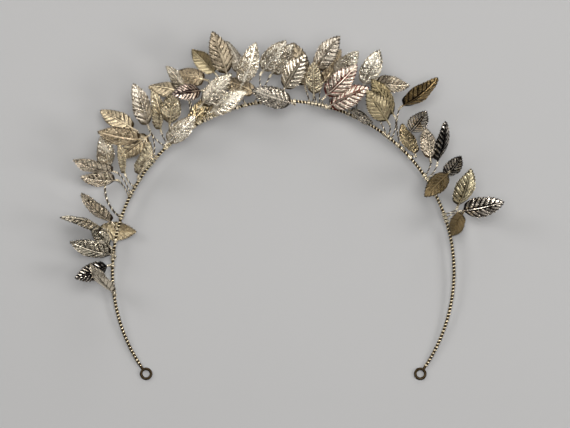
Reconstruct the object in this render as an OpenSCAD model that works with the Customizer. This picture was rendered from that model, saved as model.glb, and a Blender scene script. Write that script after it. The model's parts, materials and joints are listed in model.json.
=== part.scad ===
// Leaf halo crown: an open headband of bound wire, with wired sprigs of stamped metal leaves round its arch.
// It lies on its back, as it would by itself: the leaf faces look up, and the two ends of the band and
// the hindmost leaf tips touch the ground.

/* [Band] */
// Radius of the arch, to the middle of its core wire
arch_r = 76; // [70:0.5:85]
// How far each side of the arch runs on past its widest place, in degrees
arch_past = 35; // [20:1:45]
// Diameter of the core wire
core_d = 1.2; // [0.8:0.1:1.4]
// Diameter over the binding wire that is wound round the core
wrap_d = 1.8; // [1.7:0.1:2.4]
// Radius of the eye at each end of the band, to the middle of its wire
eye_r = 2.2; // [2:0.1:4]

/* [Leaves] */
// Length of a full-size leaf from the foot of its blade to its tip
leaf_l = 20; // [19.95:0.05:22]
// Width of a full-size leaf
leaf_w = 9.7; // [7:0.1:10]
// Thickness of the metal at the midrib
leaf_t = 0.45; // [0.3:0.05:0.8]
// How far the midrib rises above the straight line from foot to tip
leaf_arch = 1.5; // [1:0.1:2.5]
// How far the edges fall behind the midrib at the widest place
leaf_fold = 1.2; // [0.5:0.1:2]
// Length of the plain stalk below the blade
stalk_l = 1.8; // [1:0.1:3]
// Diameter of the stalk
stalk_d = 0.7; // [0.5:0.05:0.9]

/* [Stems] */
// Diameter over the two twisted strands of a stem
stem_d = 0.7; // [0.5:0.05:0.8]
// Most that a stem bends away from the straight line between its ends, in degrees at each end
stem_bend = 18; // [0:1:30]

/* [Rest] */
// How far the arch leans back on its hindmost leaf tips, in degrees
lie_tilt = 3.5; // [3:0.1:4]

/* [Hidden] */
$fn = 32;
// Sides of the long curve of the arch
arch_fn = 240;
// Space left between pieces that meet
gap = 0.1;
// Space between a stem and the stalk that it carries, bridged by turns of wire
stalk_gap = 0.6;
// Space between the end of the binding wire and the eye
eye_gap = 1.5;
// Below this bend a stem is drawn straight
least_bend = 2;

// Columns of the leaf chart
FOOT = 0;
BASE_X = 1;
BASE_Y = 2;
TIP_X = 3;
TIP_Y = 4;
SIZE = 5;
HEIGHT = 6;
LEAN = 7;
ROLL = 8;

// Chart of the leaves, from the left end of the arch to the right, seen from the front in the arch's own plane.
// FOOT is where the stem starts, in degrees round the arch from its top. The blade runs from BASE to TIP.
// SIZE is its length as a share of a full-size leaf, HEIGHT is how far its base stands before the plane.
// LEAN is 1 where its tip comes forward and -1 where it goes back, by as much as its length asks.
// ROLL turns it about its midrib, and past 90 it shows its back.
LEAVES = [
    [-96.7, -76.3,  -9.6, -86.0,   3.2, 0.90,  5.8,  1,  -52],
    [-88.0, -79.3,   1.6, -93.0,  -3.5, 0.85,  2.6,  1,  -15],
    [-85.6, -77.5,   7.0, -95.3,  12.8, 1.00,  2.5,  1,  -37],
    [-83.4, -78.3,  10.8, -86.1,  20.0, 0.70,  0.0,  1,   10],
    [-79.5, -81.0,  18.5, -99.5,  23.3, 1.00,  6.8,  1,   66],
    [-84.4, -83.0,  17.5, -66.0,  17.0, 0.87, -3.8,  1,  180],
    [-75.5, -77.5,  21.5, -90.0,  34.3, 1.00,  1.5,  1,  -50],
    [-63.6, -76.0,  40.0, -90.8,  41.5, 0.85, -4.2,  1,  -35],
    [-62.5, -76.5,  43.8, -93.5,  49.0, 1.00,  5.0,  1,  -52],
    [-71.2, -79.0,  44.8, -80.8,  60.4, 0.90,  2.4,  1,   25],
    [-60.2, -71.3,  43.3, -74.3,  56.5, 0.77,  1.0,  1,   62],
    [-49.5, -64.5,  58.0, -82.8,  61.3, 1.00,  7.8,  1,  -30],
    [-48.1, -61.0,  59.5, -74.0,  50.0, 0.86,  0.0, -1,   12],
    [-50.9, -67.5,  62.8, -82.3,  70.9, 0.90,  4.0, -1,   22],
    [-57.1, -64.8,  42.6, -60.0,  57.0, 0.90,  2.6,  1,   45],
    [-43.4, -61.0,  64.5, -67.3,  82.8, 1.00,  3.0,  1,   32],
    [-42.0, -55.3,  62.7, -58.8,  80.0, 1.00,  1.8,  1,   55],
    [-31.5, -45.5,  79.0, -61.0,  81.7, 0.88,  0.0, -1,   36],
    [-39.7, -51.2,  65.3, -49.6,  79.3, 0.92,  2.8,  1,    5],
    [-33.0, -44.0,  77.5, -52.6,  90.2, 0.90,  4.0,  1,   50],
    [-27.3, -37.5,  79.5, -50.0,  77.7, 0.80,  6.0,  1,   13],
    [-26.1, -35.8,  84.6, -49.8,  87.3, 0.90,  2.5, -1,    8],
    [-43.3, -52.0,  56.8, -39.5,  68.5, 0.90,  3.0,  1,   15],
    [-34.4, -42.5,  65.0, -31.0,  78.0, 0.90, -2.2, -1,   14],
    [-29.3, -36.8,  73.5, -23.4,  87.0, 1.00,  5.5,  1,  -25],
    [-25.0, -32.8,  70.3, -16.8,  78.8, 1.00,  3.5,  1,  -32],
    [-23.3, -31.5,  87.8, -41.2,  97.6, 0.85,  3.0,  1,  165],
    [-18.4, -26.0,  87.3, -32.1, 105.8, 1.00,  6.0,  1,   10],
    [-15.6, -19.8,  87.5, -26.3, 102.0, 0.90,  3.0, -1,   42],
    [ -9.2, -13.5,  79.0, -28.5,  84.5, 0.90,  0.0, -1,   30],
    [-12.8, -19.2,  82.3, -13.0, 101.0, 1.00,  5.5,  1,   27],
    [  3.8,   2.5,  74.2, -15.0,  80.0, 1.00,  3.5,  1,  -12],
    [ -6.2,  -9.8,  88.5,   0.3, 101.8, 0.95,  5.0,  1,   10],
    [ -7.6,  -5.7,  87.5,   4.0, 100.5, 0.95,  1.1,  1,  -20],
    [  8.6,   8.8,  82.0,   3.6, 101.0, 1.00,  2.5,  1,   20],
    [  2.0,  -0.2,  80.7,   9.1,  95.6, 1.00,  3.9,  1,  -10],
    [  9.8,  12.8,  78.3,  13.2,  92.5, 0.85,  3.0,  1,  -15],
    [ 11.0,  13.5,  89.3,  24.4, 103.5, 1.00,  6.0,  1,  -20],
    [ 12.2,  17.0,  83.7,  25.0,  98.5, 0.90,  0.0, -1,   42],
    [ 15.8,  22.5,  87.0,  32.4,  96.9, 0.85,  3.0,  1,   22],
    [ 13.4,  18.3,  77.5,  32.0,  91.0, 1.00,  6.0,  1,   15],
    [ 14.6,  20.3,  73.0,  37.3,  81.0, 1.00,  2.6,  1,  -14],
    [ 24.6,  35.0,  82.5,  41.8,  97.6, 0.95,  4.0,  1,   10],
    [ 22.5,  29.5,  70.8,  39.0,  65.5, 0.70,  2.5,  1,   50],
    [ 37.6,  45.3,  66.4,  36.0,  79.7, 1.00,  5.0,  1,    0],
    [ 39.0,  48.0,  69.5,  38.0,  84.8, 1.00,  2.0,  1,   27],
    [ 36.0,  41.0,  83.8,  55.3,  81.8, 0.85, -1.5,  1,   31],
    [ 42.1,  52.6,  73.2,  67.8,  85.4, 1.00,  3.0,  1,   43],
    [ 44.2,  55.8,  61.5,  62.8,  70.3, 0.85,  1.5,  1,    5],
    [ 47.9,  57.6,  51.8,  51.8,  65.0, 0.85,  2.5,  1,  -42],
    [ 55.7,  64.6,  49.5,  63.0,  63.5, 0.85,  2.5, -1,   24],
    [ 57.0,  67.9,  48.7,  70.9,  66.0, 0.95,  3.2,  1,   50],
    [ 61.8,  71.6,  41.9,  78.1,  50.6, 0.75,  0.5,  1,   10],
    [ 60.4,  72.0,  42.6,  61.5,  32.5, 0.85,  7.8,  1,    0],
    [ 70.4,  77.0,  29.0,  82.2,  45.0, 1.00,  2.0,  1,   27],
    [ 71.6,  79.4,  26.5,  97.0,  30.3, 1.00,  3.0,  1,   20],
    [ 72.8,  78.9,  24.8,  73.5,  15.2, 0.78,  1.3,  1,  160],
];
// The row of the one leaf that has a thicker stem, that stem's diameter, and how it turns up into its leaf
THICK_ROW = 10;
thick_stem_d = 1.1;
thick_heading = [0.5, 0.85, 0.15];
thick_bend = 38;
// Middle of the arch in the leaf chart
chart_centre = [-0.8, -0.8, 0];

// Cross-section of a leaf, as shares of its half width and half thickness, from its left edge over its face
SECTION = [[1, 0], [0.5, 1], [0, 1], [-0.5, 1], [-1, 0], [-0.5, -1], [0, -1], [0.5, -1]];
// Places along the blade, as shares of its length, where it has a cross-section
STATIONS = [0, 0.08, 0.22, 0.4, 0.6, 0.8, 0.93, 1];
// Powers that round the foot of the outline and point its tip
foot_power = 0.6;
tip_power = 0.9;
widest = foot_power / (foot_power + tip_power);
// Half width and half thickness of the blade's very tip
tip_r = 0.12;

function leaf_name(i) = str("leaf_", i < 10 ? "0" : "", i);
function unit(v) = v / norm(v);
function column(c) = [for (row = LEAVES) row[c]];

// The band's ends and the outermost leaf tips bound the crown, and its origin is below their middle
band_end_angle = 90 + arch_past;
lowest_y = chart_centre.y + arch_r * cos(band_end_angle) - eye_r - core_d / 2;
middle = [(min(column(TIP_X)) + max(column(TIP_X))) / 2, (lowest_y + max(column(TIP_Y))) / 2, 0];
// Height of the arch's plane at the middle, with the eyes on the ground
lift = core_d / 2 + (middle.y - lowest_y) * sin(lie_tilt);

// A place in the middle of the core wire, and the direction of the wire there, at an angle from the top
function band_at(angle) = chart_centre + arch_r * [sin(angle), cos(angle), 0];
function band_along(angle) = [cos(angle), -sin(angle), 0];

// The directions along a leaf, towards its left edge and out of its face
function leaf_base(row) = [row[BASE_X], row[BASE_Y], row[HEIGHT]];
function leaf_rise(row) =
    let (seen = norm([row[TIP_X] - row[BASE_X], row[TIP_Y] - row[BASE_Y]]))
    row[LEAN] * sqrt(max(0, pow(leaf_l * row[SIZE], 2) - seen * seen));
function leaf_along(row) = unit([row[TIP_X] - row[BASE_X], row[TIP_Y] - row[BASE_Y], leaf_rise(row)]);
function leaf_left(row) =
    let (along = leaf_along(row), left = unit(cross([0, 0, 1], along)), out = cross(along, left))
    left * cos(row[ROLL]) + out * sin(row[ROLL]);

// Half width of the blade at a share of its length, with a rounded foot and a pointed tip
function outline(u) =
    pow(u, foot_power) * pow(1 - u, tip_power) / (pow(widest, foot_power) * pow(1 - widest, tip_power));

// A cross-section of a full-size leaf lying flat: the midrib arches up and the edges fall away from it
function blade_ring(u) =
    let (half_w = max(u < 0.5 ? stalk_d / 2 : tip_r, outline(u) * leaf_w / 2),
         half_t = u == 0 ? stalk_d / 2 : u == 1 ? tip_r : leaf_t / 2)
    [for (p = SECTION)
        [u * leaf_l,
         p[0] * half_w,
         leaf_arch * sin(180 * u) - leaf_fold * p[0] * p[0] * outline(u) + p[1] * half_t]];
function stalk_ring() = [for (p = SECTION) [-stalk_l, p[0] * stalk_d / 2, p[1] * stalk_d / 2]];

function placed(row, points) =
    let (along = leaf_along(row), left = leaf_left(row), out = cross(along, left))
    [for (p = points) leaf_base(row) + row[SIZE] * (p.x * along + p.y * left + p.z * out)];

// Where a stem starts beside the binding wire, on the side that faces its leaf, and where it meets the stalk
function stem_end(row) = leaf_base(row) - leaf_along(row) * (stalk_l * row[SIZE] + stalk_gap);
function stem_start(row, d) =
    let (centre = band_at(row[FOOT]),
         along = band_along(row[FOOT]),
         away = stem_end(row) - centre)
    centre + unit(away - along * (along * away)) * (wrap_d / 2 + gap + d / 2);

// Lays a piece that is modelled in the arch's plane on the ground
module lying() {
    translate([0, 0, lift]) rotate([lie_tilt, 0, 0]) translate(-middle) children();
}

// Carries a section round the arch, from one angle to another
module along_arch(from, to) {
    translate(chart_centre) rotate([0, 0, 90 - to])
        rotate_extrude(angle = to - from, $fn = arch_fn) translate([arch_r, 0]) children();
}

module band_eye(angle) {
    side = sign(angle);
    translate(band_at(angle) + side * eye_r * band_along(angle))
        rotate_extrude() translate([eye_r, 0]) circle(d = core_d);
}

// The stiff core wire, with a closed eye at each end
module band_core() {
    color("#a79c84") lying() {
        along_arch(-band_end_angle, band_end_angle) circle(d = core_d);
        band_eye(-band_end_angle);
        band_eye(band_end_angle);
    }
}

// The binding wire, as a sleeve that leaves the eyes bare
module band_wrap() {
    end_angle = band_end_angle - (eye_gap + core_d / 2) / arch_r * 180 / PI;
    color("#c9bfa4") lying() along_arch(-end_angle, end_angle) difference() {
        circle(d = wrap_d);
        circle(d = core_d + gap);
    }
}

// One stem: part of a ring that reaches its leaf in the leaf's own direction, as far as the bend allows
module stem(from, to, heading, d, most) {
    reach = norm(to - from);
    chord = (to - from) / reach;
    aside = heading - chord * (chord * heading);
    bend = min(most, atan2(norm(aside), chord * heading));
    if (bend < least_bend) {
        z_axis = chord;
        x_axis = unit(cross(abs(chord.z) < 0.9 ? [0, 0, 1] : [1, 0, 0], chord));
        y_axis = cross(z_axis, x_axis);
        multmatrix([
            [x_axis.x, y_axis.x, z_axis.x, from.x],
            [x_axis.y, y_axis.y, z_axis.y, from.y],
            [x_axis.z, y_axis.z, z_axis.z, from.z]
        ]) cylinder(h = reach, d = d);
    } else {
        bend_r = reach / 2 / sin(bend);
        inward = unit(aside);
        centre = (from + to) / 2 + inward * bend_r * cos(bend);
        x_axis = (from - centre) / bend_r;
        y_axis = chord * cos(bend) - inward * sin(bend);
        z_axis = cross(x_axis, y_axis);
        multmatrix([
            [x_axis.x, y_axis.x, z_axis.x, centre.x],
            [x_axis.y, y_axis.y, z_axis.y, centre.y],
            [x_axis.z, y_axis.z, z_axis.z, centre.z]
        ]) rotate_extrude(angle = 2 * bend) translate([bend_r, 0]) circle(d = d);
    }
}

// The twisted wire stems, one to each leaf
module stems() {
    color("#b9ae93") lying() for (i = [1 : len(LEAVES)]) {
        row = LEAVES[i - 1];
        if (i == THICK_ROW) {
            stem(stem_start(row, thick_stem_d), stem_end(row), unit(thick_heading), thick_stem_d, thick_bend);
        } else {
            stem(stem_start(row, stem_d), stem_end(row), leaf_along(row), stem_d, stem_bend);
        }
    }
}

// One leaf with its stalk: closed rings carried from the stalk's end to the tip
module leaf(i) {
    row = LEAVES[i - 1];
    rings = concat([stalk_ring()], [for (u = STATIONS) blade_ring(u)]);
    sides = len(SECTION);
    last = sides * (len(rings) - 1);
    walls = [for (k = [0 : len(rings) - 2], j = [0 : sides - 1], half = [0, 1])
        let (a = k * sides + j, b = k * sides + (j + 1) % sides, c = b + sides, e = a + sides)
        half == 0 ? [a, e, c] : [a, c, b]];
    ends = [[for (j = [0 : sides - 1]) j], [for (j = [sides - 1 : -1 : 0]) last + j]];
    color("#cdc4aa") lying() polyhedron(placed(row, [for (ring = rings, p = ring) p]), concat(walls, ends));
}

band_core();
band_wrap();
stems();
for (i = [1 : len(LEAVES)]) leaf(i);
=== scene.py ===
"""Leaf halo crown: bound wire, twisted stems and stamped leaves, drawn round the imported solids.

The crown is an open wire headband that lies on its back. Each leaf of stamped, plated metal stands on a stem of
two twisted strands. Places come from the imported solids, so a leaf or a stem that moves there moves here too.
"""

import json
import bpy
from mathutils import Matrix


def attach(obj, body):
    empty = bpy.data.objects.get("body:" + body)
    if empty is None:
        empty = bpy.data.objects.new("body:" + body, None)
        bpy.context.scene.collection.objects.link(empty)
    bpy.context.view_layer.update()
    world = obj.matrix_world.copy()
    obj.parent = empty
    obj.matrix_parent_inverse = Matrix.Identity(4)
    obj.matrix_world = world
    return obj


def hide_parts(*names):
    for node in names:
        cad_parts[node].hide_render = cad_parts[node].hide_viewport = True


bl_info = {
    "name": "Leaf halo crown",
    "version": (1, 0, 0),
    "blender": (4, 5, 0),
    "location": "3D View > Sidebar > Halo crown",
    "description": "Bound wire headband with twisted stems and stamped, veined leaves",
    "category": "Add Mesh",
}

from collections import namedtuple

import bpy
import numpy as np
from mathutils import Matrix, Vector

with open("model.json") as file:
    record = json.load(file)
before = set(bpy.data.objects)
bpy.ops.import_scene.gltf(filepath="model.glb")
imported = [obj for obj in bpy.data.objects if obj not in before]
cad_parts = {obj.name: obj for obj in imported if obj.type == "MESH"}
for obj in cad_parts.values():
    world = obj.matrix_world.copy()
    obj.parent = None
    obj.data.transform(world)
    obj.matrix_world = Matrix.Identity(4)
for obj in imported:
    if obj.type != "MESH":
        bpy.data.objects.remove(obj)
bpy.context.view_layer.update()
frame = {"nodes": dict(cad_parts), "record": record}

MM = 0.001
LEAVES = sorted(name for name in frame["nodes"] if name.startswith("leaf_"))

# The arch's own plane, from the place where the head sits
SEAT = next(m for m in frame["record"]["mounts"] if m["name"] == "head_seat")
ARCH_CENTRE = np.array(SEAT["pos_m"])
ARCH_NORMAL = np.array(SEAT["axis"]) / np.linalg.norm(SEAT["axis"])
ARCH_RIGHT = np.array([1.0, 0.0, 0.0])
ARCH_UP = np.cross(ARCH_NORMAL, ARCH_RIGHT)
# How far each side of the arch runs from its top, and how much of its end the eye leaves bare, in degrees
ARCH_END = 125.0
BARE_END = 1.6

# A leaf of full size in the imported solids
BLADE_L = 20 * MM
STALK_L = 1.8 * MM
# Share of the blade's length at which its solid has its widest ring, and the corners in each ring
WIDEST_RING = 0.4
RING = 8
# Decimals of a metre to which two corners fall together
SAME_PLACE = 8
# A flat end of a stem's solid is the group of triangles that share one direction, at least this many of them
END_TRIANGLES = 20
END_COSINE = 0.999

# Edges of the pieces that bend by more than this, in degrees, are drawn sharp
SHARP = 50
# Corners round a strand of a stem, a wire that binds a stalk and a leaf's stalk
STRAND_SIDES = 7
BINDING_SIDES = 6
STALK_SIDES = 10
# Rings of corners in one turn of a stem's strand, of a strand round the band and of the wire round a stalk
STRAND_STEPS = 12
FOOT_STEPS = 14
STALK_STEPS = 10
# A strand's turns round the band lie this many of its radii apart, the first one this share of that from the
# stem, and it comes down to the band within this share of a turn
FOOT_PITCH = 2.1
FOOT_START = 0.4
FOOT_DROP = 0.5
# How far the wire that binds a stalk reaches back over the stem and on over the stalk, the stalk's radius under
# it, and the share of its own radius by which it stands off
BIND_BACK = 0.5 * MM
BIND_ON = 1.3 * MM
BOUND_STALK_R = 0.35 * MM
BIND_OFF = 0.8

# How far the floor reaches each way, in metres, the width of the camera's film, in millimetres, and the nearest
# thing that it sees, in metres
FLOOR_REACH = 6.0
FILM_WIDTH = 36.0
CLOSEST_SEEN = 0.01
# The stage's soft round lights: place and width in metres, and power in watts
Light = namedtuple("Light", "name place width power")
LIGHTS = (
    Light("over_light", (0.10, 0.15, 1.35), 1.1, 25.2),
    Light("left_light", (-0.95, 0.55, 0.75), 0.55, 8.4),
    Light("right_light", (1.00, -0.15, 0.70), 0.5, 8.4),
    Light("top_light", (0.15, 1.05, 0.45), 0.5, 4.2),
)

# Plating of the leaves: the leaves of each tone by number, colour on the ridges, colour in the valleys, roughness,
# how high the painted shade stands, and how much the metal is broken up into a fine lace of dents and veinlets.
# The valley colours are painted shade and painted dark reflection, and the red in the valleys of rose and garnet
# is painted reflection of red surroundings. Each leaf's tone was set to how bright that leaf looks, so the tones
# are partly the plating's own colour and partly painted light and shade: lit and shaded copies of one plating,
# darker ones such as umber and bronze on leaves that lie in shade, and brighter ones such as moon and cream on
# leaves in the shade of others.
Tone = namedtuple("Tone", "leaves ridge valley polish tarnish lace")
TONES = {
    "moon": Tone((26, 40), (1.0, 0.94, 0.82), (0.46, 0.385, 0.26), 0.15, 0.08, 0.9),
    "bright": Tone((23, 31, 33, 34), (1.0, 0.93, 0.80), (0.26, 0.21, 0.14), 0.18, 0.15, 1.0),
    "shell": Tone((43,), (1.0, 0.94, 0.81), (0.32, 0.265, 0.18), 0.15, 0.12, 0.65),
    "silver": Tone((10, 20, 25), (0.83, 0.755, 0.62), (0.11, 0.083, 0.05), 0.18, 0.18, 0.9),
    "nickel": Tone((16, 38), (0.63, 0.56, 0.46), (0.11, 0.085, 0.055), 0.20, 0.18, 0.45),
    "ash": Tone((29,), (0.67, 0.60, 0.49), (0.13, 0.10, 0.065), 0.24, 0.14, 1.0),
    "pearl": Tone((1, 36), (0.93, 0.83, 0.67), (0.07, 0.05, 0.03), 0.17, 0.15, 0.1),
    "rose": Tone((41, 42), (0.63, 0.54, 0.44), (0.11, 0.024, 0.017), 0.20, 0.23, 0.35),
    "cream": Tone((11, 15, 17, 19, 37), (0.98, 0.86, 0.62), (0.12, 0.085, 0.045), 0.19, 0.20, 0.75),
    "champagne": Tone((14, 18), (0.64, 0.53, 0.36), (0.06, 0.042, 0.022), 0.22, 0.21, 0.45),
    "walnut": Tone((13,), (0.62, 0.51, 0.345), (0.05, 0.035, 0.018), 0.22, 0.18, 0.45),
    "straw": Tone((55,), (0.82, 0.72, 0.48), (0.05, 0.038, 0.018), 0.18, 0.28, 0.3),
    "fawn": Tone((28, 35), (0.41, 0.34, 0.24), (0.05, 0.035, 0.02), 0.28, 0.17, 0.7),
    "khaki": Tone((27, 45), (0.48, 0.40, 0.25), (0.035, 0.026, 0.012), 0.32, 0.14, 0.5),
    "olive": Tone((46,), (0.43, 0.35, 0.20), (0.02, 0.014, 0.006), 0.28, 0.18, 0.8),
    "gold": Tone((24, 50), (0.78, 0.63, 0.38), (0.055, 0.035, 0.013), 0.19, 0.23, 0.75),
    "antique": Tone((7, 8, 9, 47, 51), (0.82, 0.71, 0.55), (0.045, 0.03, 0.018), 0.17, 0.28, 0.55),
    "smoke": Tone((3, 4), (0.63, 0.565, 0.445), (0.02, 0.014, 0.008), 0.15, 0.35, 0.5),
    "slate": Tone((5,), (0.50, 0.45, 0.355), (0.015, 0.011, 0.007), 0.15, 0.36, 0.5),
    "umber": Tone((12, 22, 30, 39), (0.60, 0.485, 0.325), (0.065, 0.043, 0.024), 0.23, 0.15, 0.8),
    "brass": Tone((6,), (0.52, 0.43, 0.28), (0.05, 0.033, 0.016), 0.26, 0.20, 0.9),
    "bronze": Tone((54, 57), (0.20, 0.147, 0.075), (0.025, 0.016, 0.007), 0.26, 0.20, 0.8),
    "tin": Tone((32,), (0.54, 0.49, 0.41), (0.065, 0.054, 0.042), 0.16, 0.22, 0.9),
    "pewter": Tone((44,), (0.61, 0.545, 0.44), (0.012, 0.008, 0.006), 0.14, 0.22, 1.0),
    "steel": Tone((49,), (1.0, 0.92, 0.80), (0.010, 0.008, 0.006), 0.10, 0.38, 0.0),
    "garnet": Tone((21,), (0.95, 0.80, 0.68), (0.016, 0.003, 0.004), 0.12, 0.56, 0.2),
    "jet": Tone((53,), (0.95, 0.86, 0.74), (0.006, 0.004, 0.003), 0.13, 0.60, 0.2),
    "coal": Tone((2, 52), (0.95, 0.86, 0.74), (0.004, 0.003, 0.003), 0.12, 0.74, 0.0),
    "onyx": Tone((56,), (1.0, 0.90, 0.77), (0.008, 0.005, 0.004), 0.14, 0.54, 0.2),
    "dark": Tone((48,), (0.29, 0.20, 0.09), (0.012, 0.008, 0.005), 0.20, 0.38, 0.3),
}


# ---------------------------------------------------------------- sizes and colours

def length(name, description, default_mm, low_mm, high_mm):
    """A length property, given in millimetres and kept in metres."""
    return bpy.props.FloatProperty(
        name=name, description=description, default=default_mm * MM, min=low_mm * MM, max=high_mm * MM,
        subtype="DISTANCE", unit="LENGTH", precision=5)


def share(name, description, default, high=1.0):
    """A property that is a share of something."""
    return bpy.props.FloatProperty(
        name=name, description=description, default=default, min=0, max=high, subtype="FACTOR")


def turns(name, description, default, high):
    """A property that counts turns."""
    return bpy.props.FloatProperty(name=name, description=description, default=default, min=0, max=high)


def whole(name, description, default, low, high):
    """A property that is a whole number."""
    return bpy.props.IntProperty(name=name, description=description, default=default, min=low, max=high)


def colour(name, description, default):
    """A colour property."""
    return bpy.props.FloatVectorProperty(
        name=name, description=description, default=default, size=3, min=0, max=1, subtype="COLOR")


class HaloBandSettings(bpy.types.PropertyGroup):
    arch_r: length("Arch radius", "From the arch's middle to its core wire", 76, 60, 90)
    core_r: length("Core radius", "Radius of the core wire", 0.6, 0.3, 1)
    wire_d: length("Binding wire", "Width of the wire wound round the core", 0.48, 0.2, 0.8)
    flat: share("Flatness", "Height of the binding wire's section, as a share of its width", 0.55)
    pitch: length("Pitch", "From one turn of the binding wire to the next", 1.55, 0.4, 3)
    steps: whole("Steps a turn", "Rings of corners in each turn", 14, 6, 40)
    metal: colour("Metal", "Colour of the binding wire", (0.68, 0.58, 0.40))
    # The darkened colour below is painted shade on the side of the binding wire that lies against the core and in
    # the gaps between its turns; Dark to sets how high it stands
    tarnish: colour("Tarnish", "Colour where the wire has darkened", (0.02, 0.013, 0.006))
    polish: share("Polish", "Roughness of the binding wire where it shines", 0.26)
    dark_to: share("Dark to", "How high the tarnish stands on the binding wire", 0.40)
    # The core's colours are near black: partly its own dark metal and partly painted shade in the gaps between the
    # binding's turns
    core: colour("Core", "Colour of the core where it is rubbed", (0.035, 0.024, 0.012))
    core_polish: share("Core polish", "Roughness of the core where it is rubbed", 0.42)
    core_dark_to: share("Core dark to", "How high the tarnish stands on the core", 0.6)


class HaloStemSettings(bpy.types.PropertyGroup):
    strand_share: share("Strand", "Thickness of each strand, as a share of the stem's", 0.43)
    pitch: length("Lay", "Length of one full twist of the two strands", 2.4, 1, 6)
    binding_d: length("Binding", "Thickness of the wire that binds stem and leaf", 0.3, 0.1, 0.6)
    foot_turns: turns("Foot turns", "Turns that each strand takes round the band", 1.2, 8)
    leaf_turns: turns("Leaf turns", "Turns of wire that hold a leaf's stalk", 3.0, 10)
    dark_strand: share("Dark strand", "Share of its shine that the darker of the two strands has kept", 0.55)
    metal: colour("Metal", "Colour of the stems", (0.92, 0.81, 0.60))
    # The darkened colour below is painted shade on the side of each strand that lies against the other and on the
    # bindings' side against what they wrap; Dark to sets how high it stands
    tarnish: colour("Tarnish", "Colour where the stems have darkened", (0.045, 0.03, 0.015))
    polish: share("Polish", "Roughness of the stems where they shine", 0.26)
    dark_to: share("Dark to", "How high the tarnish stands on the stems", 0.44)


class HaloLeafSettings(bpy.types.PropertyGroup):
    width: length("Width", "Width of a full-size leaf", 9.7, 4, 12)
    arch: length("Arch", "How far the midrib rises above the line from foot to tip", 1.5, 0, 4)
    fold: length("Fold", "How far the edges fall behind the midrib", 1.2, 0, 4)
    sheet: length("Sheet", "Thickness of the metal", 0.22, 0.1, 0.6)
    veins: whole("Veins", "Pairs of side veins", 8, 3, 20)
    sweep: share("Sweep", "How far the side veins run forward, as a share of the length", 0.21, 0.35)
    relief: length("Relief", "Height of the ridges between the veins", 0.38, 0, 0.8)
    rib: length("Rib", "Height of the midrib", 0.46, 0, 0.8)
    crumple: length("Crumple", "Height of the small dents in the metal where it is most like lace", 0.06, 0, 0.3)
    # Gap: how far the relief drops between the beads of the rim, where it takes painted shade
    gap: share("Gap", "How deep the grime sits between the beads of the rim", 0.4)
    tooth: length("Tooth", "Depth of the teeth along the edge", 0.7, 0, 1.2)
    across: whole("Across", "Faces from the midrib to each edge", 13, 4, 40)


class HaloStageSettings(bpy.types.PropertyGroup):
    aim: bpy.props.FloatVectorProperty(
        name="Aim", description="Where the camera looks, right of and above the arch's middle", size=2,
        default=(0.0008, 0.0257), subtype="XYZ", unit="LENGTH")
    distance: length("Distance", "From the camera to the arch's plane", 1800, 300, 3000)
    seen: length("Seen width", "Width of the arch's plane that the view takes in", 253.65, 100, 600)
    floor: colour("Floor", "Colour of the floor", (0.245, 0.242, 0.239))
    air: colour("Air", "Light from all round", (0.10, 0.098, 0.095))


# ---------------------------------------------------------------- shapes

def unit(v):
    """Each vector divided by its own length."""
    return v / np.linalg.norm(v, axis=-1, keepdims=True)


def square_to(v, way):
    """What is left of each vector v once its part along the unit vector way is taken off, made unit length."""
    return unit(v - (v * way).sum(-1, keepdims=True) * way)


def ease(x, low, high):
    """0 below low, 1 above high, and 3t^2 - 2t^3 between them, where t is the share of the way."""
    t = np.clip((x - low) / (high - low), 0, 1)
    return t * t * (3 - 2 * t)


def coil(line, aside, radius, turn, wire_r, sides=8, flat=1.0):
    """Rings of corners of a wire wound round a line. The radii are one number each, or one for each ring.

    With T the line's direction, e1 the aside direction made square to T, and e2 = T x e1, the wire's middle is
    line + radius (cos(turn) e1 + sin(turn) e2). Its section is an ellipse round that middle: wire_r times flat
    towards the line, and wire_r along the other direction square to the wire.
    """
    way = unit(np.gradient(line, axis=0))
    e1 = square_to(np.broadcast_to(aside, line.shape), way)
    e2 = np.cross(way, e1)
    away = np.cos(turn)[:, None] * e1 + np.sin(turn)[:, None] * e2
    middle = line + np.reshape(radius, (-1, 1)) * away
    run = unit(np.gradient(middle, axis=0))
    n1 = square_to(away, run)
    n2 = np.cross(run, n1)
    angle = 2 * np.pi * np.arange(sides) / sides
    round_it = np.cos(angle)[:, None] * flat * n1[:, None] + np.sin(angle)[:, None] * n2[:, None]
    return middle[:, None] + np.reshape(wire_r, (-1, 1, 1)) * round_it


def grid_faces(rows, sides, first=0):
    """Corners of the quads between rings of corners, and of the two flat ends, facing out of the tube.

    Ring i and side j have corner first + i sides + j, and each quad joins (i, j), (i, j+1), (i+1, j+1), (i+1, j).
    """
    i, j = np.meshgrid(np.arange(rows - 1), np.arange(sides), indexing="ij")
    k = (j + 1) % sides
    quads = first + np.stack([i * sides + j, i * sides + k, (i + 1) * sides + k, (i + 1) * sides + j], axis=-1)
    start = first + np.arange(sides)[::-1]
    end = first + (rows - 1) * sides + np.arange(sides)
    return quads.reshape(-1, 4), [start.tolist(), end.tolist()]


def wire_relief(tube):
    """Relief of a wound wire, whose first corner faces away from what it is wound round: (1 + cos a) / 2. The low
    side, against what the wire is wound round, takes painted shade.
    """
    sides = tube.shape[1]
    return np.tile((1 + np.cos(2 * np.pi * np.arange(sides) / sides)) / 2, len(tube))


def add_values(mesh, name, kind, values):
    """Keeps a number, or a vector, with each corner of a mesh for its material to read."""
    field = "vector" if kind == "FLOAT_VECTOR" else "value"
    mesh.attributes.new(name, kind, "POINT").data.foreach_set(field, values.ravel().astype(np.float32))


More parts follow.
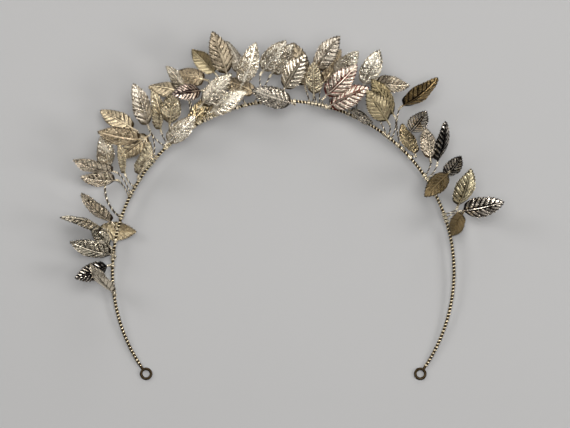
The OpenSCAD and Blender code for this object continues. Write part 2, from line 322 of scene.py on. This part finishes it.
def tube_mesh(name, tubes, relief=None):
    """One mesh of closed tubes, each given as rings of corners in an array of rings x sides x 3.

    Without a relief of its own, each tube has that of a wound wire.
    """
    points, faces, first = [], [], 0
    for tube in tubes:
        rows, sides = tube.shape[:2]
        quads, ends = grid_faces(rows, sides, first)
        points.append(tube.reshape(-1, 3))
        faces += quads.tolist() + ends
        first += rows * sides
    mesh = bpy.data.meshes.new(name)
    mesh.from_pydata(np.concatenate(points), [], faces)
    mesh.shade_smooth()
    if relief is None:
        relief = [wire_relief(tube) for tube in tubes]
    add_values(mesh, "relief", "FLOAT", np.concatenate([part.ravel() for part in relief]))
    mesh.update()
    return mesh


def add_piece(mesh, material, slot, *nodes):
    """Puts a mesh into the scene as a piece of the crown, named after it, that stands for the named solids."""
    mesh.set_sharp_from_angle(angle=np.radians(SHARP))
    mesh.materials.append(material)
    piece = bpy.data.objects.new(mesh.name, mesh)
    bpy.context.scene.collection.objects.link(piece)
    if nodes:
        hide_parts(*nodes)
    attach(piece, "root")


def arch_line(angle, radius):
    """Places on the arch: centre + radius (sin(angle) right + cos(angle) up), angles from the top in radians."""
    return ARCH_CENTRE + radius * (np.sin(angle)[:, None] * ARCH_RIGHT + np.cos(angle)[:, None] * ARCH_UP)


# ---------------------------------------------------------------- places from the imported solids

def solid_of(name):
    """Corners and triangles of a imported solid, with the corners that fall together merged."""
    mesh = frame["nodes"][name].data
    corners = np.empty(len(mesh.vertices) * 3, np.float32)
    mesh.vertices.foreach_get("co", corners)
    mesh.calc_loop_triangles()
    triangles = np.empty(len(mesh.loop_triangles) * 3, np.int32)
    mesh.loop_triangles.foreach_get("vertices", triangles)
    corners, merged = np.unique(corners.reshape(-1, 3).round(SAME_PLACE), axis=0, return_inverse=True)
    return corners.astype(float), merged.ravel()[triangles].reshape(-1, 3)


def farthest(points):
    """The two points that lie farthest apart."""
    apart = np.linalg.norm(points[:, None] - points[None], axis=2)
    return np.unravel_index(apart.argmax(), apart.shape)


def leaf_place(name):
    """Foot of a blade, its directions along, left and out of its face, and its share of full size.

    The two corners that lie farthest apart are on the solid's end rings, and the narrower ring is the tip's. The
    farthest pair of the widest ring gives the left and right edge, and that ring's middle lies on the face's side.
    """
    corners, _ = solid_of(name)
    rings = [corners[np.linalg.norm(corners - corners[i], axis=1).argsort()[:RING]] for i in farthest(corners)]
    rings.sort(key=lambda ring: np.linalg.norm(np.ptp(ring, axis=0)))
    tip, stalk = (ring.mean(axis=0) for ring in rings)
    along = unit(tip - stalk)
    size = np.linalg.norm(tip - stalk) / (BLADE_L + STALK_L)
    station = (corners - stalk) @ along / size - STALK_L
    wide = corners[np.abs(station - WIDEST_RING * BLADE_L).argsort()[:RING]]
    a, b = farthest(wide)
    across = square_to(wide[a] - wide[b], along)
    off = square_to(wide.mean(axis=0) - stalk, along)
    out = square_to(off, across)
    return stalk + along * STALK_L * size, along, np.cross(out, along), out, size


def loose_pieces(triangles, corner_count):
    """A number for each corner, the same for all corners that triangles join.

    Each corner starts with its own number and takes the lowest one in its triangles, until none changes.
    """
    label = np.arange(corner_count)
    while True:
        lowest = label.copy()
        np.minimum.at(lowest, triangles.ravel(), np.repeat(label[triangles].min(axis=1), 3))
        lowest = lowest[lowest]
        if (lowest == label).all():
            return label
        label = lowest


def stem_places():
    """Both ends of each stem: place, direction out of the stem there, and its thickness.

    Of each loose piece of the stems' solid, the two largest groups of triangles that share one direction are its
    flat ends. The place is the middle of a flat end's rim, and the thickness is how far that rim reaches.
    """
    corners, triangles = solid_of("stems")
    label = loose_pieces(triangles, len(corners))
    a, b, c = (corners[triangles[:, k]] for k in range(3))
    normals = unit(np.cross(b - a, c - a) + 1e-18)
    stems = []
    for number in np.unique(label):
        mine = label[triangles[:, 0]] == number
        facing, parts = normals[mine], triangles[mine]
        ends = []
        for _ in range(2):
            ways, count = np.unique(facing.round(2), axis=0, return_counts=True)
            flat = facing @ unit(ways[count.argmax()]) > END_COSINE
            if flat.sum() < END_TRIANGLES:
                raise RuntimeError("a stem has no flat end to start from")
            way = unit(facing[flat].mean(axis=0))
            rim = corners[np.unique(parts[flat])]
            middle = rim.mean(axis=0)
            ends.append((middle, way, np.ptp(rim @ square_to(rim[0] - middle, way))))
            facing, parts = facing[~flat], parts[~flat]
        stems.append(ends)
    return stems


def bend_line(start, start_way, end, end_way, count):
    """A smooth curve between two ends: a cubic whose two handles make it the arc of a circle.

    Where the directions differ by an angle q, each handle is reach 4 tan(q/4) / (6 sin(q/2)) long, which comes to
    a third of the reach where q is next to nothing.
    """
    reach = np.linalg.norm(end - start)
    q = np.arccos(np.clip(start_way @ end_way, -1, 1))
    handle = reach / 3 if q < 0.01 else reach * 4 * np.tan(q / 4) / (6 * np.sin(q / 2))
    t = np.linspace(0, 1, count)[:, None]
    one, two = start + handle * start_way, end - handle * end_way
    return (1 - t) ** 3 * start + 3 * t * (1 - t) ** 2 * one + 3 * t * t * (1 - t) * two + t ** 3 * end


# ---------------------------------------------------------------- one leaf

# Where the rows of corners stand between one side vein and the next, as shares: close together at the valleys
VEIN_ROWS = np.array([0.0, 0.06, 0.15, 0.32, 0.5, 0.68, 0.85, 0.94])
# Shares of the half width at which the teeth and the rim begin, and at which the rim is whole
RIM_FROM = 0.82
RIM_WHOLE = 0.93
# Shares of the half width at which the ridges begin beside the midrib and are whole, and how much farther out that
# is where the metal isn't like lace
RIDGE_FROM = 0.03
RIDGE_WHOLE = 0.20
RIDGE_LATER = 0.05
# Shares of the length at which the pattern is whole past the foot, and where it begins to end before the tip
PATTERN_WHOLE = 0.08
PATTERN_TO = 0.93
# Least half width of the blade in the half by its foot and in the half by its tip
FOOT_LEAST = 0.35 * MM
TIP_LEAST = 0.05 * MM
# How far chance bows the midrib sideways, twists the leaf in degrees, and waves each edge: waves in the length of
# the leaf, and their height
BOW = 0.3 * MM
TWIST = 9
EDGE_WAVES = (1.2, 2.4)
EDGE_RISE = (0.15 * MM, 0.45 * MM)
# How many waves make the dents, and how long they are
DENT_WAVES = 5
DENT_LENGTH = (0.75 * MM, 1.4 * MM)
# Relief that the plating reads, where lower relief takes more painted shade: its least on lace, on the stalk, and
# on the back as a start and a share of the front's
LACE_LEAST = 0.4
STALK_SHINE = 0.7
BACK_START = 0.15
BACK_SHARE = 0.8
# The stalk runs on under the midrib for this length and thins towards its end
STALK_RUN = 9 * MM
STALK_RINGS = 10
STALK_R = 0.34 * MM
STALK_THINS = 0.2 * MM


def outline(s):
    """Half width at a share s of the length, as a share of the widest.

    It is sqrt(s) (1 - s)^0.75 over its greatest value, drawn in towards the tip by 1 - 0.5 s^8.
    """
    most = 0.4
    return s ** 0.5 * (1 - s) ** 0.75 / (most ** 0.5 * (1 - most) ** 0.75) * (1 - 0.5 * s ** 8)


def dents(x, y, rng):
    """Small dents: half the sum of waves sin(2 pi (x cos a + y sin a) / w + c), with a, w and c by chance."""
    ways = rng.uniform(0, np.pi, DENT_WAVES)
    lengths = rng.uniform(*DENT_LENGTH, DENT_WAVES)
    total = 0
    for way, wave, start in zip(ways, lengths, rng.uniform(0, 7, DENT_WAVES)):
        total = total + np.sin(2 * np.pi * (x * np.cos(way) + y * np.sin(way)) / wave + start)
    return total / 2


def leaf_blade(cfg, rng, lace):
    """Rings of corners of a full-size blade lying flat, its relief for the plating and its place on the metal.

    A row of corners follows a side vein: where it leaves the midrib at a share u of the length, it stands at the
    share s = u + 2.6 sweep |v|^1.15 sqrt(u) (1 - u) at a share v of the half width. The sheet's height is
    arch sin(pi s) - fold |v|^1.5 outline(s), and a wave by chance lifts each edge as |v|^2.5. With p the share of
    the way from one side vein to the next, there stand on it:
    - ridges, (4 p (1 - p))^0.6, lower where the metal is more like lace
    - the midrib, exp(-(y / w)^2), with a half width w that narrows towards the tip
    - teeth, two to a vein, which grow in a straight line and fall back, and a bead on the rim of each
    - small dents, as far as the metal is like lace
    The plating reads the greatest of ridge, midrib and bead, no less than 0.4 in full lace, and less the gap where
    no bead is: low relief takes painted shade, and the gaps between the beads take the darkest painted shade. The
    place counts side veins along the blade and 2 mm steps across it, and its third number is how plainly the
    veinlets show.
    """
    phase = np.append((np.arange(cfg.veins)[:, None] + VEIN_ROWS).ravel(), cfg.veins)
    u = (phase / cfg.veins)[:, None]
    p = (phase % 1)[:, None]
    side = np.linspace(-1, 1, 2 * cfg.across + 1)
    side = np.sign(side) * np.abs(side) ** 1.15
    v = np.concatenate([-side, side])[None, :]
    front = (np.arange(v.size) < side.size)[None, :]
    lay = np.abs(v)
    s = u + cfg.sweep * 2.6 * lay ** 1.15 * np.sqrt(u) * (1 - u)
    broad = outline(np.clip(s, 0, 1))

    # The outline with its teeth, and the pattern's shares: whole on the body of the blade, gone at foot and tip
    tooth = 2 * p % 1
    edge = ease(lay, RIM_FROM, 1.0)
    body = ease(u, 0.0, PATTERN_WHOLE) * (1 - ease(u, PATTERN_TO, 1.0))
    half_w = np.maximum(broad * cfg.width / 2, np.where(u < 0.5, FOOT_LEAST, TIP_LEAST))
    half_w = half_w + edge * body * cfg.tooth * (tooth - 0.5)
    x = s * BLADE_L + edge * body * cfg.tooth * tooth
    bow = rng.uniform(-BOW, BOW) * 4 * u * u * (1 - u)
    y = v * half_w + bow

    # The bent sheet
    height = cfg.arch * np.sin(np.pi * s) - cfg.fold * lay ** 1.5 * broad
    for edge_side in (-1, 1):
        wave = np.sin(2 * np.pi * (rng.uniform(*EDGE_WAVES) * s + rng.uniform(0, 1)))
        height = height + np.where(v * edge_side > 0, rng.uniform(*EDGE_RISE) * lay ** 2.5 * body * wave, 0)

    # The pattern stamped into it
    margin = ease(lay, RIM_FROM, RIM_WHOLE) * body
    later = RIDGE_LATER * (1 - lace)
    ridge = (4 * p * (1 - p)) ** 0.6 * ease(lay, RIDGE_FROM + later, RIDGE_WHOLE + later) * body * (1 - margin)
    rib_w = (0.3 + 0.1 * lace) * MM * (1.15 - 0.6 * u)
    rib = np.exp(-((y - bow) / rib_w) ** 2) * (1 - ease(u, 0.9, 1.0))
    bead = ease(np.sin(np.pi * tooth), 0.35, 0.75)
    rim = margin * bead
    raised = cfg.relief * (1 - 0.45 * lace) * ridge + cfg.rib * rib + 0.9 * cfg.relief * rim
    raised = raised + cfg.crumple * lace * dents(x, y, rng) * body * (1 - rib)
    sheet = cfg.sheet * (1 - 0.5 * edge)
    z = height + np.where(front, 0.02 * MM + raised, -sheet + 0.65 * raised)

    twist = np.radians(rng.uniform(-TWIST, TWIST)) * (u - 0.3)
    y, z = y * np.cos(twist) - z * np.sin(twist), y * np.sin(twist) + z * np.cos(twist)
    blade = np.stack(np.broadcast_arrays(x, y, z), axis=-1)

    # What the plating and the veinlets read
    least = LACE_LEAST * lace * body * (1 - margin)
    relief = np.clip(np.maximum(np.maximum(least + (1 - least) * ridge, rib), rim), 0, 1)
    # The gaps between the rim's beads drop below zero relief and take painted shade
    relief = relief - cfg.gap * margin * (1 - bead)
    shine = np.where(front, relief, (BACK_START + BACK_SHARE * relief) * (1 - margin) + rim)
    shown = np.where(front, 1 - rib, 0.4) * lace
    place = np.stack(np.broadcast_arrays(u * cfg.veins, v * half_w / (2 * MM), shown), axis=-1)
    return blade, shine, place


def leaf_stalk(cfg):
    """Rings of corners of a full-size leaf's stalk, which runs on under the midrib and follows its arch."""
    t = np.linspace(0, 1, STALK_RINGS)
    x = t * STALK_RUN - STALK_L
    z = -0.12 * MM - 0.1 * MM * t + cfg.arch * np.sin(np.pi * np.clip(x, 0, None) / BLADE_L)
    run = np.stack([x, 0 * t, z], axis=-1)
    return coil(run, np.array([0.0, 0.0, 1.0]), 0, 0 * t, STALK_R - STALK_THINS * t, STALK_SIDES)


def make_leaf(name, cfg, material, slot, lace):
    """One stamped leaf in the place of its solid, with what its plating and its veinlets read."""
    foot, along, left, out, size = leaf_place(name)
    rng = np.random.default_rng(int(name.split("_")[1]))
    blade, shine, place = leaf_blade(cfg, rng, lace)
    stalk = leaf_stalk(cfg)
    axes = np.stack([along, left, out])
    mesh = tube_mesh(name.replace("leaf", "blade"), [foot + size * (part @ axes) for part in (blade, stalk)],
                     [shine, np.full(stalk.shape[:2], STALK_SHINE)])
    no_veins = np.zeros((stalk.size // 3, 3))
    add_values(mesh, "vein", "FLOAT_VECTOR", np.concatenate([place.reshape(-1, 3), no_veins]))
    add_piece(mesh, material, slot, name)


# ---------------------------------------------------------------- materials

# How fine the grain of the metal is, and how deep it bites into a stamped leaf and into drawn wire
GRAIN_SCALE = 1900.0
LEAF_GRAIN = 0.5
WIRE_GRAIN = 0.35
# Painted shade between the beads of a leaf's rim
RIM_GAP_SHADE = (0.03, 0.02, 0.012, 1)
# Cells of the veinlets from one side vein to the next
NET_SCALE = 2.7
# How high the core stands for its tarnish, which has no relief of its own
CORE_RAISED = 0.9


class Nodes:
    """A short way to place and join shader nodes in a material or a node group."""

    def __init__(self, tree):
        self.tree = tree

    def put(self, value, socket):
        """Joins an output to a socket, or sets the socket to a plain value."""
        if isinstance(value, bpy.types.NodeSocket):
            self.tree.links.new(value, socket)
        else:
            socket.default_value = value

    def add(self, kind, inputs=None, **settings):
        """A new node with its settings, then its inputs by name or number."""
        node = self.tree.nodes.new(kind)
        for key, value in settings.items():
            setattr(node, key, value)
        for key, value in (inputs or {}).items():
            self.put(value, node.inputs[key])
        return node

    def math(self, operation, *values):
        """The result of a sum on plain numbers and outputs."""
        return self.add("ShaderNodeMath", dict(enumerate(values)), operation=operation).outputs[0]

    def ramp(self, value, low, high):
        """0 below low, 1 above high, and 3t^2 - 2t^3 between them."""
        node = self.add("ShaderNodeMapRange", {0: value, 1: low, 2: high}, interpolation_type="SMOOTHSTEP")
        return node.outputs[0]

    def mix(self, factor, a, b):
        """Colour a where the factor is 0 and colour b where it is 1."""
        node = self.add("ShaderNodeMix", data_type="RGBA")
        for value, number in ((factor, 0), (a, 6), (b, 7)):
            self.put(value, node.inputs[number])
        return node.outputs[2]

    def cloud(self, scale, detail):
        """Noise over the piece's own coordinates, from 0 to 1."""
        place = self.add("ShaderNodeTexCoord").outputs["Object"]
        return self.add("ShaderNodeTexNoise", {"Vector": place, "Scale": scale, "Detail": detail}).outputs[0]


def new_group(name, inputs, outputs):
    """An empty shader node group with named sockets, and the nodes that stand for them inside it."""
    group = bpy.data.node_groups.new(name, "ShaderNodeTree")
    for label, kind in inputs:
        group.interface.new_socket(name=label, in_out="INPUT", socket_type="NodeSocket" + kind)
    for label, kind in outputs:
        group.interface.new_socket(name=label, in_out="OUTPUT", socket_type="NodeSocket" + kind)
    nodes = Nodes(group)
    return group, nodes, nodes.add("NodeGroupInput").outputs, nodes.add("NodeGroupOutput").inputs


def metal_grain():
    """Fine drawing marks and dull spots: a mask of dull places and a slightly uneven normal.

    The mask is the mean of a fine noise and one about eight times as broad, eased from 0.42 to 0.62. The fine
    noise is also the height of the marks.
    """
    group, n, given, out = new_group(
        "Metal grain", [("Scale", "Float"), ("Depth", "Float")], [("Dull", "Float"), ("Normal", "Vector")])
    fine = n.cloud(given["Scale"], 3.0)
    broad = n.cloud(n.math("MULTIPLY", given["Scale"], 0.12), 2.0)
    bump = n.add("ShaderNodeBump", {"Strength": given["Depth"], "Distance": 0.2 * MM, "Height": fine})
    n.put(n.ramp(n.math("MULTIPLY", n.math("ADD", fine, broad), 0.5), 0.42, 0.62), out["Dull"])
    n.put(bump.outputs[0], out["Normal"])
    return group


def plating():
    """Bright metal on what stands up and painted shade in what lies deep: a colour and a roughness.

    The height with a cloudy noise on it, 0.7 (noise - 0.5), takes the colour from valley to ridge as it rises from
    the shade height to 0.45 above it, so that the valley colour is painted shade and painted dark reflection, made
    uneven at random by the noise. Below a height of -0.1 the colour goes to the painted shade of the rim's gaps.
    The roughness is Polish + 0.18 Dull + 0.14 (1 - height).
    """
    group, n, given, out = new_group(
        "Plating_and_shade",
        [("Raised", "Float"), ("Dull", "Float"), ("Ridge", "Color"), ("Valley", "Color"), ("Polish", "Float"),
         ("Tarnish", "Float")],
        [("Color", "Color"), ("Roughness", "Float")])
    uneven = n.math("MULTIPLY", n.math("SUBTRACT", n.cloud(260.0, 2.0), 0.5), 0.7)
    height = n.math("ADD", given["Raised"], uneven)
    # The valley colour, where the height is low, is painted shade and painted dark reflection
    bright = n.ramp(height, given["Tarnish"], n.math("ADD", given["Tarnish"], 0.45))
    metal = n.mix(bright, given["Valley"], given["Ridge"])
    dull = n.math("ADD", given["Polish"], n.math("MULTIPLY", given["Dull"], 0.18))
    deep = n.math("MULTIPLY", n.math("SUBTRACT", 1.0, given["Raised"]), 0.14)
    # The rim's gaps take the painted shade colour
    n.put(n.mix(n.ramp(given["Raised"], -0.5, -0.1), RIM_GAP_SHADE, metal), out["Color"])
    n.put(n.math("ADD", dull, deep), out["Roughness"])
    return group


def vein_net():
    """The small mesh of veinlets between the side veins, from the place on the leaf: a height and a mask.

    The net is 0 on a veinlet and eases to 1 inside its cells. The height is net Front and the mask is
    1 - (1 - net) Front, so that Front says how plainly both show.
    """
    group, n, given, out = new_group(
        "Vein net", [("Scale", "Float"), ("Front", "Float")], [("Height", "Float"), ("Net", "Float")])
    place = n.add("ShaderNodeAttribute", attribute_name="vein").outputs["Vector"]
    cell = n.add("ShaderNodeTexVoronoi", {"Vector": place, "Scale": given["Scale"], "Randomness": 0.7},
                 feature="DISTANCE_TO_EDGE")
    net = n.ramp(cell.outputs[0], 0.02, 0.22)
    faded = n.math("MULTIPLY", n.math("SUBTRACT", 1.0, net), given["Front"])
    n.put(n.math("MULTIPLY", net, given["Front"]), out["Height"])
    n.put(n.math("SUBTRACT", 1.0, faded), out["Net"])
    return group


GROUPS = {}


def shared_groups():
    """The node groups that the materials share, made once."""
    if not GROUPS:
        GROUPS.update(grain=metal_grain(), plating=plating(), net=vein_net())
    return GROUPS


def new_material(name):
    """A new material with its nodes, and its shader."""
    material = bpy.data.materials.new(name)
    material.use_nodes = True
    return material, Nodes(material.node_tree), material.node_tree.nodes["Principled BSDF"]


def plated(name, look, grain_depth, relief):
    """Plated metal in one look, over the relief that a function of its nodes and their normal gives.

    The look has ridge and valley colours, a polish and a height to which the painted shade stands.
    """
    ridge, valley, polish, tarnish = look
    groups = shared_groups()
    material, n, shader = new_material(name)
    grain = n.add("ShaderNodeGroup", {"Scale": GRAIN_SCALE, "Depth": grain_depth}, node_tree=groups["grain"])
    raised, normal = relief(n, grain.outputs["Normal"])
    coat = n.add("ShaderNodeGroup", {
        "Raised": raised, "Dull": grain.outputs["Dull"], "Ridge": (*ridge, 1), "Valley": (*valley, 1),
        "Polish": polish, "Tarnish": tarnish}, node_tree=groups["plating"])
    n.put(coat.outputs["Color"], shader.inputs["Base Color"])
    n.put(coat.outputs["Roughness"], shader.inputs["Roughness"])
    n.put(normal, shader.inputs["Normal"])
    n.put(1.0, shader.inputs["Metallic"])
    return material


def leaf_relief(n, normal):
    """A leaf's relief, down to a fifth of it on the veinlets so that they take painted shade, and the normal with
    the veinlets' bump.
    """
    relief = n.add("ShaderNodeAttribute", attribute_name="relief").outputs["Fac"]
    place = n.add("ShaderNodeAttribute", attribute_name="vein").outputs["Vector"]
    front = n.add("ShaderNodeSeparateXYZ", {0: place}).outputs[2]
    net = n.add("ShaderNodeGroup", {"Scale": NET_SCALE, "Front": front}, node_tree=shared_groups()["net"])
    bump = n.add("ShaderNodeBump", {
        "Strength": 1.0, "Distance": 0.3 * MM, "Height": net.outputs["Height"], "Normal": normal})
    share_left = n.math("ADD", 0.2, n.math("MULTIPLY", net.outputs["Net"], 0.8))
    return n.math("MULTIPLY", relief, share_left), bump.outputs[0]


def shade_and_wear(n, relief):
    """A wire's relief times 0.45 plus a cloudy noise: painted shade where the relief is low, made uneven at
    random.
    """
    return n.math("MULTIPLY", relief, n.math("ADD", 0.45, n.cloud(420.0, 2.0)))


def wire_shade_and_wear(n, normal):
    """A wound wire's painted shade follows its relief, which is highest on the side that faces away, with uneven
    wear from the noise.
    """
    return shade_and_wear(n, n.add("ShaderNodeAttribute", attribute_name="relief").outputs["Fac"]), normal


def core_worn(n, normal):
    """The core is worn alike all round."""
    return shade_and_wear(n, CORE_RAISED), normal


def floor_material(tint):
    """A plain pale floor with a faint unevenness."""
    material, n, shader = new_material("pale_floor")
    darker = tuple(c * 0.96 for c in tint)
    n.put(n.mix(n.cloud(9.0, 3.0), (*darker, 1), (*tint, 1)), shader.inputs["Base Color"])
    n.put(0.8, shader.inputs["Roughness"])
    return material


# ---------------------------------------------------------------- operators

class HALO_OT_band(bpy.types.Operator):
    """Winds the binding wire round the core, and gives the core its metal"""

    bl_idname = "halo.band"
    bl_label = "Bound band"

    def execute(self, context):
        cfg = context.scene.halo_band
        end = np.radians(ARCH_END - BARE_END)
        rounds = 2 * end * cfg.arch_r / cfg.pitch
        angle = np.linspace(-end, end, int(rounds * cfg.steps))
        wire_r = cfg.wire_d / 2
        winding = coil(arch_line(angle, cfg.arch_r), ARCH_NORMAL, cfg.core_r + wire_r * cfg.flat,
                       rounds * np.pi * (angle / end + 1), wire_r, flat=cfg.flat)
        look = (cfg.metal, cfg.tarnish, cfg.polish, cfg.dark_to)
        wire = plated("band_wire", look, WIRE_GRAIN, wire_shade_and_wear)
        add_piece(tube_mesh("band_winding", [winding]), wire, "binding_wire", "band_wrap")
        # The core's near-black colour is partly its own dark metal and partly painted shade in the gaps between
        # the turns
        look = (cfg.core, cfg.tarnish, cfg.core_polish, cfg.core_dark_to)
        core = plated("core_wire", look, WIRE_GRAIN, core_worn)
        core_slots = frame["nodes"]["band_core"].data.materials
        core_slots.clear()
        core_slots.append(core)
        return {"FINISHED"}


class HALO_OT_stems(bpy.types.Operator):
    """Twists two strands into each stem, and binds it to the band and to its leaf"""

    bl_idname = "halo.stems"
    bl_label = "Twisted stems"

    def execute(self, context):
        cfg = context.scene.halo_stem
        band = context.scene.halo_band
        wire = plated("stem_wire", (cfg.metal, cfg.tarnish, cfg.polish, cfg.dark_to), WIRE_GRAIN, wire_shade_and_wear)
        leaves = [leaf_place(name) for name in LEAVES]
        stalk_ends = np.array([foot - along * STALK_L * size for foot, along, _, _, size in leaves])
        strands, bindings, strand_shade = [], [], []
        for number, ends in enumerate(stem_places()):
            apart = [np.linalg.norm(stalk_ends - end[0], axis=1) for end in ends]
            last = int(apart[1].min() < apart[0].min())
            leaf = apart[last].argmin()
            (start, start_out, thick), (stop, stop_out, _) = ends[1 - last], ends[last]
            reach = np.linalg.norm(stop - start)
            count = max(8, int(reach / cfg.pitch * STRAND_STEPS))
            line = bend_line(start, -start_out, stop, stop_out, count)
            strand_r = cfg.strand_share * thick / 2
            turn = np.linspace(0, 2 * np.pi * reach / cfg.pitch, count) + number
            # Each strand's relief sets its painted shade, darker on the side that faces the other strand, and
            # lower on the dark strand
            for half, kept in ((0, 1.0), (np.pi, cfg.dark_strand)):
                strands.append(coil(line, ARCH_UP + ARCH_RIGHT, thick / 2 - strand_r, turn + half, strand_r,
                                    STRAND_SIDES))
                strand_shade.append(kept * wire_relief(strands[-1]))
            bindings.append(self.leaf_binding(cfg, stop, stop_out, leaves[leaf], stalk_ends[leaf], thick))
            bindings += self.foot_binding(cfg, band, start, strand_r)
        add_piece(tube_mesh("stem_strands", strands, strand_shade), wire, "stem_wire", "stems")
        add_piece(tube_mesh("stem_bindings", bindings), wire, "stem_wire")
        return {"FINISHED"}

    def leaf_binding(self, cfg, stop, stop_out, leaf, stalk_end, thick):
        """Turns of wire from the stem's end over the gap and up the leaf's stalk."""
        _, along, _, _, size = leaf
        count = int(cfg.leaf_turns * STALK_STEPS) + 1
        line = bend_line(stop - stop_out * BIND_BACK, stop_out, stalk_end + along * BIND_ON * size, along, count)
        wire_r = cfg.binding_d / 2
        radius = max(thick / 2, BOUND_STALK_R * size) + wire_r * BIND_OFF
        turn = np.linspace(0, 2 * np.pi * cfg.leaf_turns, count)
        return coil(line, ARCH_UP + ARCH_RIGHT, radius, turn, wire_r, BINDING_SIDES)

    def foot_binding(self, cfg, band, start, strand_r):
        """Each strand leaves the stem's foot and winds round the band, one to each side."""
        off = start - ARCH_CENTRE
        angle = np.arctan2(off @ ARCH_RIGHT, off @ ARCH_UP)
        away = start - arch_line(np.array([angle]), band.arch_r)[0]
        t = np.linspace(0, 1, int(cfg.foot_turns * FOOT_STEPS) + 1)
        around = band.core_r + band.wire_d * band.flat + strand_r
        radius = around + (np.linalg.norm(away) - around) * (1 - ease(t * cfg.foot_turns, 0, FOOT_DROP))
        tubes = []
        for side in (-1, 1):
            along = side * (FOOT_START + t * cfg.foot_turns) * FOOT_PITCH * strand_r / band.arch_r
            line = arch_line(angle + along, band.arch_r)
            tubes.append(coil(line, away, radius, 2 * np.pi * cfg.foot_turns * t, strand_r, STRAND_SIDES))
        return tubes


class HALO_OT_leaves(bpy.types.Operator):
    """Stamps every leaf in the place of its solid, each in its own tone of plating"""

    bl_idname = "halo.leaves"
    bl_label = "Stamped leaves"

    def execute(self, context):
        cfg = context.scene.halo_leaf
        slots = {part["node"]: part["material_slot"] for part in frame["record"]["subparts"]}
        for name, tone in TONES.items():
            look = (tone.ridge, tone.valley, tone.polish, tone.tarnish)
            material = plated("leaf_" + name, look, LEAF_GRAIN, leaf_relief)
            for number in tone.leaves:
                node = f"leaf_{number:02d}"
                make_leaf(node, cfg, material, slots[node], tone.lace)
        return {"FINISHED"}


class HALO_OT_stage(bpy.types.Operator):
    """Lays the pale floor and sets the soft lights and the camera"""

    bl_idname = "halo.stage"
    bl_label = "Stage"

    def execute(self, context):
        scene = context.scene
        cfg = scene.halo_stage
        mesh = bpy.data.meshes.new("floor")
        corners = [(x * FLOOR_REACH, y * FLOOR_REACH, 0) for x, y in ((-1, -1), (1, -1), (1, 1), (-1, 1))]
        mesh.from_pydata(corners, [], [(0, 1, 2, 3)])
        mesh.materials.append(floor_material(cfg.floor))
        floor = bpy.data.objects.new("floor", mesh)
        scene.collection.objects.link(floor)

        target = ARCH_CENTRE + ARCH_RIGHT * cfg.aim[0] + ARCH_UP * cfg.aim[1]
        for light in LIGHTS:
            self.add_light(scene, light, target)

        world = bpy.data.worlds.new("air")
        world.use_nodes = True
        world.node_tree.nodes["Background"].inputs["Color"].default_value = (*cfg.air, 1)
        scene.world = world
        scene.view_settings.view_transform = "Standard"

        data = bpy.data.cameras.new("camera")
        data.sensor_width = FILM_WIDTH
        data.lens = FILM_WIDTH * cfg.distance / cfg.seen
        data.clip_start = CLOSEST_SEEN
        camera = bpy.data.objects.new("camera", data)
        scene.collection.objects.link(camera)
        place = target + ARCH_NORMAL * cfg.distance
        columns = np.stack([ARCH_RIGHT, ARCH_UP, ARCH_NORMAL, place], axis=1)
        camera.matrix_world = Matrix([*columns.tolist(), [0, 0, 0, 1]])
        scene.camera = camera
        return {"FINISHED"}

    def add_light(self, scene, light, target):
        """A round light that faces the crown."""
        data = bpy.data.lights.new(light.name, "AREA")
        data.shape = "DISK"
        data.size = light.width
        data.energy = light.power
        lamp = bpy.data.objects.new(light.name, data)
        scene.collection.objects.link(lamp)
        lamp.location = light.place
        lamp.rotation_euler = (Vector(target) - Vector(light.place)).to_track_quat("-Z", "Y").to_euler()


class HALO_PT_panel(bpy.types.Panel):
    """Lists the crown's pieces and their sizes"""

    bl_idname = "HALO_PT_panel"
    bl_label = "Halo crown"
    bl_space_type = "VIEW_3D"
    bl_region_type = "UI"
    bl_category = "Halo crown"

    def draw(self, context):
        for operator, key in STEPS:
            box = self.layout.box()
            box.operator(operator.bl_idname)
            settings = getattr(context.scene, key)
            for name in settings.__annotations__:
                box.prop(settings, name)


STEPS = (
    (HALO_OT_band, "halo_band"),
    (HALO_OT_stems, "halo_stem"),
    (HALO_OT_leaves, "halo_leaf"),
    (HALO_OT_stage, "halo_stage"),
)
SETTINGS = {
    "halo_band": HaloBandSettings,
    "halo_stem": HaloStemSettings,
    "halo_leaf": HaloLeafSettings,
    "halo_stage": HaloStageSettings,
}
CLASSES = (*SETTINGS.values(), *(operator for operator, _ in STEPS), HALO_PT_panel)


def register():
    for cls in CLASSES:
        bpy.utils.register_class(cls)
    for key, settings in SETTINGS.items():
        setattr(bpy.types.Scene, key, bpy.props.PointerProperty(type=settings))


def unregister():
    for key in SETTINGS:
        delattr(bpy.types.Scene, key)
    for cls in reversed(CLASSES):
        bpy.utils.unregister_class(cls)


def main():
    register()
    bpy.ops.halo.stage()
    bpy.ops.halo.band()
    bpy.ops.halo.stems()
    bpy.ops.halo.leaves()


if __name__ == "__main__":
    main()
